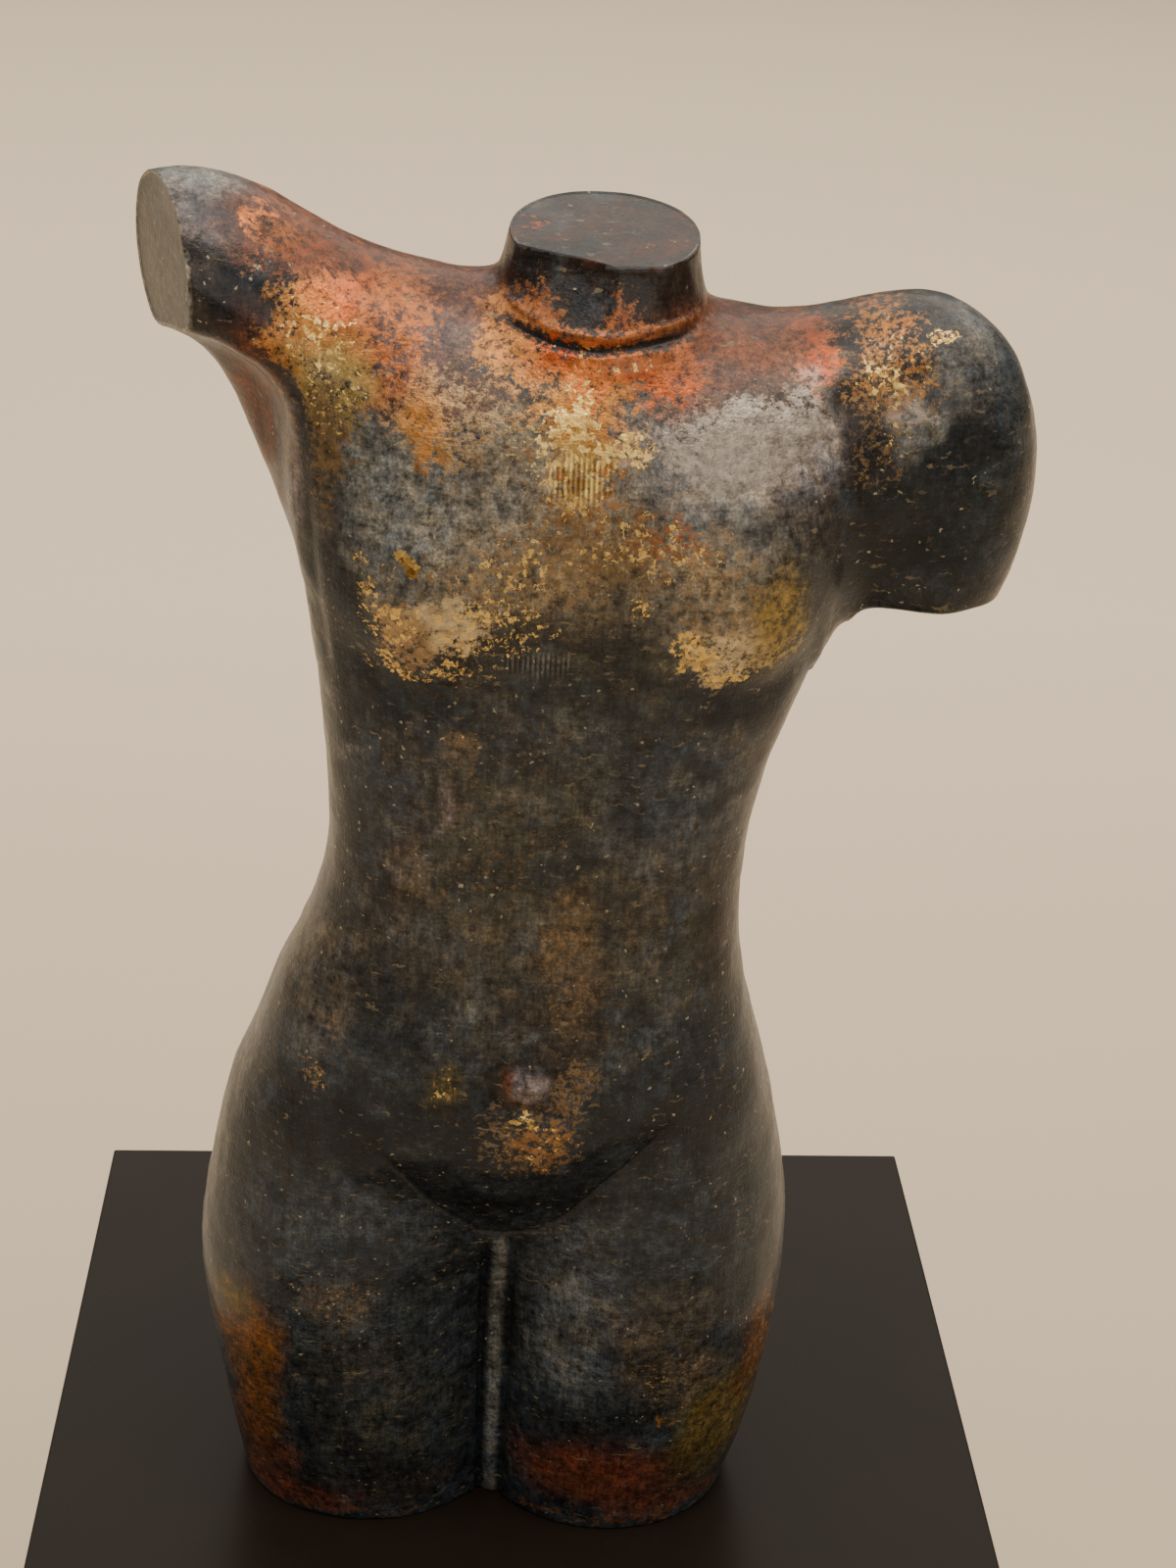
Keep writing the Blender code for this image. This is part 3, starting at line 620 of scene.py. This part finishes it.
def paint(mesh):
    points, normals = read_skin(mesh)
    places = points + sum(np.stack([lumps(points, size, seed) for seed in seeds], axis=1) * reach
                          for size, reach, seeds in WANDER)
    # The ground coat is the same on every side.
    rise = (points[:, 2] - GROUND_FROM) / (GROUND_TO - GROUND_FROM)
    warm = soft(rise + 0.5 * lumps(points, 60.0, 10))
    colour = np.outer(1 - warm, linear(GLAZES["slate"])) + np.outer(warm, linear(GLAZES["umber"]))
    worn = soft(0.9 * lumps(points, 55.0, 11) - 0.15 + (points[:, 2] > 600) * 0.35) * soft(normals[:, 1] + 0.4)
    colour = lay(colour, worn, GLAZES["rust"])
    for glaze, across, deep, up, wide, high, strength in DABS:
        colour = lay(colour, dab_weight(places, across, deep, up, wide, high) * strength, GLAZES[glaze])
    dark = soft((0.09 - colour[:, 0]) / 0.05)
    up = points[:, 2]
    belly = dark * soft((up - BELLY_LOW) / 40) * soft((BELLY_HIGH - up) / 30) * (points[:, 1] < 0)
    for where, patches in ((dark, RAGGED), (belly, RAGGED_BELLY)):
        for glaze, size, seed, edge, strength in patches:
            colour = lay(colour, soft((lumps(places, size, seed) - edge) * 8.0) * where * strength, GLAZES[glaze])
    # Dark glaze in the fine lines, and painted shadow under the breasts.
    for route, half_width, strength in DARK_LINES:
        away, weight = along(points, route, 12.0)
        colour = lay(colour, np.exp(-(away / half_width) ** 2) * weight * strength * (normals[:, 1] < 0.2),
                     GLAZES["ink"])
    # The strip between the thighs was wiped paler.
    away, weight = along(points, CLEFT_STRIP, 6.0)
    colour = lay(colour, np.exp(-(away / 3.4) ** 4) * weight * (points[:, 1] < 0), GLAZES["grey"])
    # The raised arm's sawn face was left a pale, mottled grey.
    place = np.array(SAWN[1][1])
    out = np.array(SAWN[1][2]) / np.linalg.norm(SAWN[1][2])
    face = (np.abs((points - place) @ out) < 0.5) & (np.linalg.norm(points - place, axis=1) < 75)
    stain = soft(0.5 + 0.9 * lumps(points[face], 9.0, 13))
    colour[face] = np.outer(1 - stain, linear(STUMP_PALE)) + np.outer(stain, linear(STUMP_DARK))
    # A thin pale line runs along the neck's front rim, with a fainter one just below it.
    neck = np.array(SAWN[0][1])
    up = np.array(SAWN[0][2]) / np.linalg.norm(SAWN[0][2])
    drop = (points - neck) @ up
    front_rim = (points[:, 1] < -8) & (np.linalg.norm(points - neck, axis=1) < 75)
    colour = lay(colour, 0.9 * front_rim * (np.abs(drop + 0.12) < 0.06), GLAZES["haze"])
    colour = lay(colour, 0.35 * front_rim * (np.abs(drop + 0.45) < 0.1), GLAZES["haze"])
    keep_layer(mesh, "glaze", colour)
    powder = np.tile(linear(POWDERS["bronze"]), (len(points), 1))
    cover = np.zeros(len(points))
    for name, across, deep, up, wide, high, strength in POWDER_DABS:
        weight = dab_weight(places, across, deep, up, wide, high) * strength
        powder = lay(powder, np.clip(weight * 1.6, 0, 1), POWDERS[name])
        cover = 1 - (1 - cover) * (1 - weight)
    # On the back and sides the powder lies thinly over the shoulders.
    cover = np.maximum(cover, worn * 0.35)
    away, weight = along(points, COLLAR, 14.0)
    lip = np.exp(-(away / 1.8) ** 2) * weight * (normals[:, 1] < 0.2) * 0.85
    powder = lay(powder, lip * 0.8, POWDERS["copper"])
    cover = np.maximum(cover, lip)
    for route, half_width in ((COLLAR_CREASE, 2.2), (ARMPIT, 2.6)):
        away, weight = along(points, route, 14.0)
        cover = cover * (1 - 0.85 * np.exp(-(away / half_width) ** 2) * weight * (normals[:, 1] < 0.2))
    for across, deep in NECK_DABS:
        gap = np.hypot((points[:, 0] - across) / NECK_DAB_SIZE[0], (points[:, 1] - deep) / NECK_DAB_SIZE[1])
        dab = soft(1.5 - gap) * (drop > -1.0)
        powder = lay(powder, dab, POWDERS["ember"])
        cover = np.maximum(cover, dab * 0.62)
    keep_layer(mesh, "powder", powder)
    amounts = np.zeros((len(points), 4))
    amounts[:, 2] = cover
    for channel, places_of in ((0, LEAF), (1, FLECKS)):
        for across, deep, up, wide, high, strength in places_of:
            weight = dab_weight(places, across, deep, up, wide, high) * strength
            amounts[:, channel] = 1 - (1 - amounts[:, channel]) * (1 - weight)
    amounts[face] = 0.0
    keep_layer(mesh, "amounts", amounts)
    away, weight = along(points, COMB, 2.0)
    combed = np.zeros((len(points), 4))
    combed[:, 0] = np.exp(-(away / 4.6) ** 4) * weight * (normals[:, 1] < -0.3)
    away, weight = along(points, COMB_HIGH, 2.0)
    combed[:, 0] = np.maximum(combed[:, 0], 0.6 * np.exp(-(away / 8.0) ** 4) * weight * (normals[:, 1] < -0.3))
    keep_layer(mesh, "combed", combed)


paint(torso.data)


def add(tree, kind, settings=None, links=None):
    """Add a node with its settings, and link its inputs."""
    node = tree.nodes.new(kind)
    for name, value in (settings or {}).items():
        if isinstance(name, int) or name in node.inputs:
            node.inputs[name].default_value = value
        else:
            setattr(node, name, value)
    for name, source in (links or {}).items():
        tree.links.new(source, node.inputs[name])
    return node


# Patinated resin: oil-bound glazes, metal powder and leaf over a dark cast skin, under a satin varnish. To the eye
# it is dark, deep and softly shiny, mottled at every scale, with grains of copper and ragged bright flakes.
CRACK = "#0d0b09"
LEAF_DARK = "#8a5c1c"
LEAF_BRIGHT = "#ffd882"
FLECK = "#a99d82"
RUBBED = "#85765a"
COMB_PITCH = 2.1 * MM
patina = bpy.data.materials.new("patinated resin, hand glazed")
patina.use_nodes = True
tree = patina.node_tree
shader = tree.nodes["Principled BSDF"]
place = add(tree, "ShaderNodeTexCoord").outputs["Object"]
glaze = add(tree, "ShaderNodeVertexColor", {"layer_name": "glaze"}).outputs["Color"]
powder = add(tree, "ShaderNodeVertexColor", {"layer_name": "powder"}).outputs["Color"]
amounts = add(tree, "ShaderNodeVertexColor", {"layer_name": "amounts"}).outputs["Color"]
combed = add(tree, "ShaderNodeVertexColor", {"layer_name": "combed"}).outputs["Color"]
amount = add(tree, "ShaderNodeSeparateColor", links={"Color": amounts})
comb_here = add(tree, "ShaderNodeSeparateColor", links={"Color": combed}).outputs["Red"]
# Clouding at 30 mm, mottling at 5 mm, grit at 1.3 mm, and the brush's hair marks up and across, 1.5 mm apart.
cloud = add(tree, "ShaderNodeTexNoise", {"Scale": 33.0, "Detail": 3.0, "Roughness": 0.55}, {"Vector": place})
mottle = add(tree, "ShaderNodeTexNoise", {"Scale": 200.0, "Detail": 3.5, "Roughness": 0.72}, {"Vector": place})
grit = add(tree, "ShaderNodeTexNoise", {"Scale": 780.0, "Detail": 2.0, "Roughness": 0.6}, {"Vector": place})
upward = add(tree, "ShaderNodeMapping", {"Scale": (1.0, 1.0, 0.1)}, {"Vector": place}).outputs["Vector"]
hair_up = add(tree, "ShaderNodeTexNoise", {"Scale": 660.0, "Detail": 2.0, "Roughness": 0.6}, {"Vector": upward})
crosswise = add(tree, "ShaderNodeMapping", {"Scale": (0.1, 0.1, 1.0)}, {"Vector": place}).outputs["Vector"]
hair_across = add(tree, "ShaderNodeTexNoise", {"Scale": 660.0, "Detail": 2.0, "Roughness": 0.6},
                  {"Vector": crosswise})
# The glaze leans warm in some spots and cool in others, 12 mm apart.
lean = add(tree, "ShaderNodeTexNoise", {"Scale": 85.0, "Detail": 4.0, "Roughness": 0.65}, {"Vector": place})
worked = glaze
for texture, low, high in ((cloud, 0.62, 1.36), (mottle, 0.3, 1.9), (grit, 0.7, 1.35), (hair_up, 0.76, 1.26),
                           (hair_across, 0.84, 1.18), (lean, 0.72, 1.36)):
    gain = add(tree, "ShaderNodeMapRange", {"From Min": 0.32, "From Max": 0.68, "To Min": low, "To Max": high},
               {"Value": texture.outputs["Fac"]})
    worked = add(tree, "ShaderNodeVectorMath", {"operation": "SCALE"},
                 {0: worked, "Scale": gain.outputs["Result"]}).outputs["Vector"]
lean_share = add(tree, "ShaderNodeMapRange", {"From Min": 0.38, "From Max": 0.62}, {"Value": lean.outputs["Fac"]})
lean_tint = add(tree, "ShaderNodeMix", {"data_type": "RGBA", "A": (0.92, 1.0, 1.1, 1.0), "B": (1.1, 1.0, 0.84, 1.0)},
                {"Factor": lean_share.outputs["Result"]})
leaned = add(tree, "ShaderNodeVectorMath", {"operation": "MULTIPLY"}, {0: worked, 1: lean_tint.outputs["Result"]})
# Crackle: fine dark lines round plates of about 7 mm, in places.
torn = add(tree, "ShaderNodeTexNoise", {"Scale": 210.0, "Detail": 3.0, "Roughness": 0.7}, {"Vector": place})
shift = add(tree, "ShaderNodeVectorMath", {"operation": "MULTIPLY_ADD", 1: (0.006, 0.006, 0.006)},
            {0: torn.outputs["Color"], 2: place}).outputs["Vector"]
plates = add(tree, "ShaderNodeTexVoronoi", {"feature": "DISTANCE_TO_EDGE", "Scale": 140.0}, {"Vector": shift})
crack = add(tree, "ShaderNodeMapRange", {"From Min": 0.0, "From Max": 0.05, "To Min": 1.0, "To Max": 0.0},
            {"Value": plates.outputs["Distance"]})
crack_share = add(tree, "ShaderNodeMapRange", {"From Min": 0.5, "From Max": 0.62, "To Max": 0.6},
                  {"Value": lean.outputs["Fac"]})
crack_here = add(tree, "ShaderNodeMath", {"operation": "MULTIPLY"},
                 {0: crack.outputs["Result"], 1: crack_share.outputs["Result"]})
crackled = add(tree, "ShaderNodeMix", {"data_type": "RGBA", "B": linear(CRACK)},
               {"Factor": crack_here.outputs["Value"], "A": leaned.outputs["Vector"]})
# Powder breaks up into grains of 1 to 4 mm.
grains = add(tree, "ShaderNodeTexNoise", {"Scale": 290.0, "Detail": 4.0, "Roughness": 0.8}, {"Vector": place})
grain_level = add(tree, "ShaderNodeMapRange", {"From Min": 0.36, "From Max": 0.64}, {"Value": grains.outputs["Fac"]})
grain_sum = add(tree, "ShaderNodeMath", {"operation": "ADD"},
                {0: grain_level.outputs["Result"], 1: amount.outputs["Blue"]})
powder_mask = add(tree, "ShaderNodeMapRange", {"From Min": 0.9, "From Max": 1.25},
                  {"Value": grain_sum.outputs["Value"]}).outputs["Result"]
powder_gain = add(tree, "ShaderNodeMapRange", {"From Min": 0.35, "From Max": 0.65, "To Min": 0.6, "To Max": 1.3},
                  {"Value": mottle.outputs["Fac"]})
powder_lit = add(tree, "ShaderNodeVectorMath", {"operation": "SCALE"},
                 {0: powder, "Scale": powder_gain.outputs["Result"]})
powdered = add(tree, "ShaderNodeMix", {"data_type": "RGBA"},
               {"Factor": powder_mask, "A": crackled.outputs["Result"], "B": powder_lit.outputs["Vector"]})
# Leaf tears into chips of 1 to 4 mm with hairline gaps.
chips = add(tree, "ShaderNodeTexVoronoi", {"Scale": 420.0, "Randomness": 1.0}, {"Vector": shift})
chip_chance = add(tree, "ShaderNodeSeparateColor", links={"Color": chips.outputs["Color"]}).outputs["Red"]
tear = add(tree, "ShaderNodeTexNoise", {"Scale": 330.0, "Detail": 3.5, "Roughness": 0.78, "Distortion": 0.8},
           {"Vector": place})
chip_part = add(tree, "ShaderNodeMath", {"operation": "MULTIPLY_ADD", 1: 0.5},
                {0: chip_chance, 2: amount.outputs["Red"]})
tear_part = add(tree, "ShaderNodeMath", {"operation": "MULTIPLY_ADD", 1: 1.7},
                {0: tear.outputs["Fac"], 2: chip_part.outputs["Value"]})
gold_mask = add(tree, "ShaderNodeMapRange", {"From Min": 1.66, "From Max": 1.76},
                {"Value": tear_part.outputs["Value"]}).outputs["Result"]
gold_colour = add(tree, "ShaderNodeMix", {"data_type": "RGBA", "A": linear(LEAF_DARK), "B": linear(LEAF_BRIGHT)},
                  {"Factor": chip_chance})
gilded = add(tree, "ShaderNodeMix", {"data_type": "RGBA"},
             {"Factor": gold_mask, "A": powdered.outputs["Result"], "B": gold_colour.outputs["Result"]})
# Pale flecks under 1 mm, few everywhere and dense in some spots.
specks = add(tree, "ShaderNodeTexVoronoi", {"Scale": 300.0, "Randomness": 1.0}, {"Vector": shift})
speck_chance = add(tree, "ShaderNodeSeparateColor", links={"Color": specks.outputs["Color"]}).outputs["Green"]
speck_near = add(tree, "ShaderNodeMapRange", {"From Min": 0.12, "From Max": 0.26, "To Min": 1.0, "To Max": 0.0},
                 {"Value": specks.outputs["Distance"]})
speck_sum = add(tree, "ShaderNodeMath", {"operation": "MULTIPLY_ADD", 1: 0.5},
                {0: amount.outputs["Green"], 2: speck_chance})
speck_picked = add(tree, "ShaderNodeMapRange", {"From Min": 0.966, "From Max": 0.976},
                   {"Value": speck_sum.outputs["Value"]})
speck_mask = add(tree, "ShaderNodeMath", {"operation": "MULTIPLY"},
                 {0: speck_near.outputs["Result"], 1: speck_picked.outputs["Result"]})
speckled = add(tree, "ShaderNodeMix", {"data_type": "RGBA", "B": linear(FLECK)},
               {"Factor": speck_mask.outputs["Value"], "A": gilded.outputs["Result"]})
# Pale rubbed strokes, 0.8 mm wide and up to 15 mm long, lie in patches.
rubbed = speckled.outputs["Result"]
for turn, patch_seed in (((0.0, 0.35, 0.0), 11.0), ((0.0, 1.25, 0.0), 23.0)):
    slant = add(tree, "ShaderNodeMapping", {"Rotation": turn, "Scale": (0.26, 0.6, 1.0),
                                            "Location": (patch_seed, 0.0, 0.0)}, {"Vector": shift})
    stroke = add(tree, "ShaderNodeTexNoise", {"Scale": 430.0, "Detail": 1.0}, {"Vector": slant.outputs["Vector"]})
    stroke_edge = add(tree, "ShaderNodeMapRange", {"From Min": 0.67, "From Max": 0.72, "To Max": 0.6},
                      {"Value": stroke.outputs["Fac"]})
    patch = add(tree, "ShaderNodeTexNoise", {"noise_dimensions": "4D", "Scale": 40.0, "W": patch_seed},
                {"Vector": place})
    patch_edge = add(tree, "ShaderNodeMapRange", {"From Min": 0.5, "From Max": 0.6}, {"Value": patch.outputs["Fac"]})
    stroke_mask = add(tree, "ShaderNodeMath", {"operation": "MULTIPLY"},
                      {0: stroke_edge.outputs["Result"], 1: patch_edge.outputs["Result"]})
    rubbed = add(tree, "ShaderNodeMix", {"data_type": "RGBA", "B": linear(RUBBED)},
                 {"Factor": stroke_mask.outputs["Value"], "A": rubbed}).outputs["Result"]
# The comb's teeth leave fine upright lines.
across = add(tree, "ShaderNodeSeparateXYZ", links={"Vector": place}).outputs["X"]
phase = add(tree, "ShaderNodeMath", {"operation": "MULTIPLY", 1: math.tau / COMB_PITCH}, {0: across})
teeth = add(tree, "ShaderNodeMath", {"operation": "SINE"}, {0: phase.outputs["Value"]})
teeth_here = add(tree, "ShaderNodeMath", {"operation": "MULTIPLY"}, {0: teeth.outputs["Value"], 1: comb_here})
teeth_gain = add(tree, "ShaderNodeMapRange", {"From Min": -1.0, "From Max": 1.0, "To Min": 0.1, "To Max": 1.9},
                 {"Value": teeth_here.outputs["Value"]})
finished = add(tree, "ShaderNodeVectorMath", {"operation": "SCALE"},
               {0: rubbed, "Scale": teeth_gain.outputs["Result"]})
tree.links.new(finished.outputs["Vector"], shader.inputs["Base Color"])
powder_metal = add(tree, "ShaderNodeMath", {"operation": "MULTIPLY", 1: 0.65}, {0: powder_mask})
metal = add(tree, "ShaderNodeMix", {"data_type": "FLOAT", "B": 0.85},
            {"Factor": gold_mask, "A": powder_metal.outputs["Value"]})
tree.links.new(metal.outputs["Result"], shader.inputs["Metallic"])
rough = add(tree, "ShaderNodeMapRange", {"From Min": 0.3, "From Max": 0.7, "To Min": 0.27, "To Max": 0.47},
            {"Value": mottle.outputs["Fac"]})
tree.links.new(rough.outputs["Result"], shader.inputs["Roughness"])
shader.inputs["IOR"].default_value = 1.34
shader.inputs["Coat Weight"].default_value = 0.2
shader.inputs["Coat Roughness"].default_value = 0.15
# The same textures stand up from the skin a little, and the comb's lines stand up most.
height = grit.outputs["Fac"]
for source, weight in ((mottle.outputs["Fac"], 1.6), (hair_up.outputs["Fac"], 0.7),
                       (hair_across.outputs["Fac"], 0.6), (powder_mask, 0.25), (teeth_here.outputs["Value"], 1.2)):
    raised = add(tree, "ShaderNodeMath", {"operation": "MULTIPLY_ADD", 1: weight}, {0: source, 2: height})
    height = raised.outputs["Value"]
bump = add(tree, "ShaderNodeBump", {"Strength": 0.4, "Distance": 0.0007}, {"Height": height})
tree.links.new(bump.outputs["Normal"], shader.inputs["Normal"])
torso.data.materials.clear()
torso.data.materials.append(patina)
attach(torso, "root")
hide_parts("torso")


# The plinth is a box of board, lacquered dark brown. Its CAD solid is right as it is, so only its finish is new.
# To the eye the lacquer is almost black, with a dull sheen and a faint cloud of dust.
BOARD_DARK = "#1b1511"
BOARD_PALE = "#271f19"
lacquer = bpy.data.materials.new("dark brown lacquered board")
lacquer.use_nodes = True
tree = lacquer.node_tree
shader = tree.nodes["Principled BSDF"]
place = add(tree, "ShaderNodeTexCoord").outputs["Object"]
haze = add(tree, "ShaderNodeTexNoise", {"Scale": 9.0, "Detail": 5.0, "Roughness": 0.6}, {"Vector": place})
dust = add(tree, "ShaderNodeTexNoise", {"Scale": 420.0, "Detail": 2.0, "Roughness": 0.7}, {"Vector": place})
brown = add(tree, "ShaderNodeMix", {"data_type": "RGBA", "A": linear(BOARD_DARK), "B": linear(BOARD_PALE)},
            {"Factor": haze.outputs["Fac"]})
tree.links.new(brown.outputs["Result"], shader.inputs["Base Color"])
dull = add(tree, "ShaderNodeMapRange", {"From Min": 0.3, "From Max": 0.7, "To Min": 0.22, "To Max": 0.34},
           {"Value": haze.outputs["Fac"]})
tree.links.new(dull.outputs["Result"], shader.inputs["Roughness"])
shader.inputs["IOR"].default_value = 1.25
fine = add(tree, "ShaderNodeBump", {"Strength": 0.06, "Distance": 0.0002}, {"Height": dust.outputs["Fac"]})
tree.links.new(fine.outputs["Normal"], shader.inputs["Normal"])
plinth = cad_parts["plinth"]
plinth.data.materials.clear()
plinth.data.materials.append(lacquer)


# The floor is pale, with painted shade that makes it darker near the work and paler behind it. The light is
# soft: a broad lamp above and behind, a smaller one above, a weak one from the front right, and pale air all round.
FLOOR_HALF = 30.0
FLOOR_NEAR_SHADED = "#dbc7ac"
FLOOR_FAR = "#f9e4c6"
floor_mesh = bmesh.new()
bmesh.ops.create_grid(floor_mesh, x_segments=1, y_segments=1, size=FLOOR_HALF)
floor_data = bpy.data.meshes.new("floor")
floor_mesh.to_mesh(floor_data)
floor_mesh.free()
floor = bpy.data.objects.new("floor", floor_data)
bpy.context.scene.collection.objects.link(floor)
paper = bpy.data.materials.new("pale floor")
paper.use_nodes = True
tree = paper.node_tree
behind = add(tree, "ShaderNodeTexCoord").outputs["Object"]
metres_back = add(tree, "ShaderNodeSeparateXYZ", links={"Vector": behind}).outputs["Y"]
# Painted shade: the floor is darker near the work and paler from 0.5 to 2.2 m behind.
paler = add(tree, "ShaderNodeMapRange", {"From Min": 0.5, "From Max": 2.2}, {"Value": metres_back})
sheet = add(tree, "ShaderNodeMix", {"data_type": "RGBA", "A": linear(FLOOR_NEAR_SHADED), "B": linear(FLOOR_FAR)},
            {"Factor": paler.outputs["Result"]})
tree.links.new(sheet.outputs["Result"], tree.nodes["Principled BSDF"].inputs["Base Color"])
tree.nodes["Principled BSDF"].inputs["Roughness"].default_value = 0.9
floor.data.materials.append(paper)

# Each lamp: name, place, aim, size in metres, watts and colour.
LAMPS = (
    ("white ceiling", (0.0, 3.0, 4.2), (0.0, 3.0, 0.0), (12.0, 11.0), 595.0, "#fff8ec"),
    ("ceiling panel", (0.3, -0.5, 3.0), (0.0, 0.0, 0.8), (1.7, 1.2), 20.0, "#fff8ee"),
    ("front fill", (0.9, -2.6, 1.9), (0.0, 0.0, 0.9), (1.6, 1.2), 12.0, "#fff6ec"),
)
for name, place, aim, size, power, colour in LAMPS:
    lamp_data = bpy.data.lights.new(name, "AREA")
    lamp_data.shape = "RECTANGLE"
    lamp_data.size = size[0]
    lamp_data.size_y = size[1]
    lamp_data.energy = power
    lamp_data.color = linear(colour)[:3]
    lamp = bpy.data.objects.new(name, lamp_data)
    bpy.context.scene.collection.objects.link(lamp)
    lamp.location = place
    lamp.rotation_euler = (Vector(aim) - Vector(place)).to_track_quat("-Z", "Y").to_euler()

AIR = "#e6e0d6"
AIR_STRENGTH = 0.24
air = bpy.data.worlds.new("pale air")
air.use_nodes = True
air.node_tree.nodes["Background"].inputs["Color"].default_value = linear(AIR)
air.node_tree.nodes["Background"].inputs["Strength"].default_value = AIR_STRENGTH
bpy.context.scene.world = air
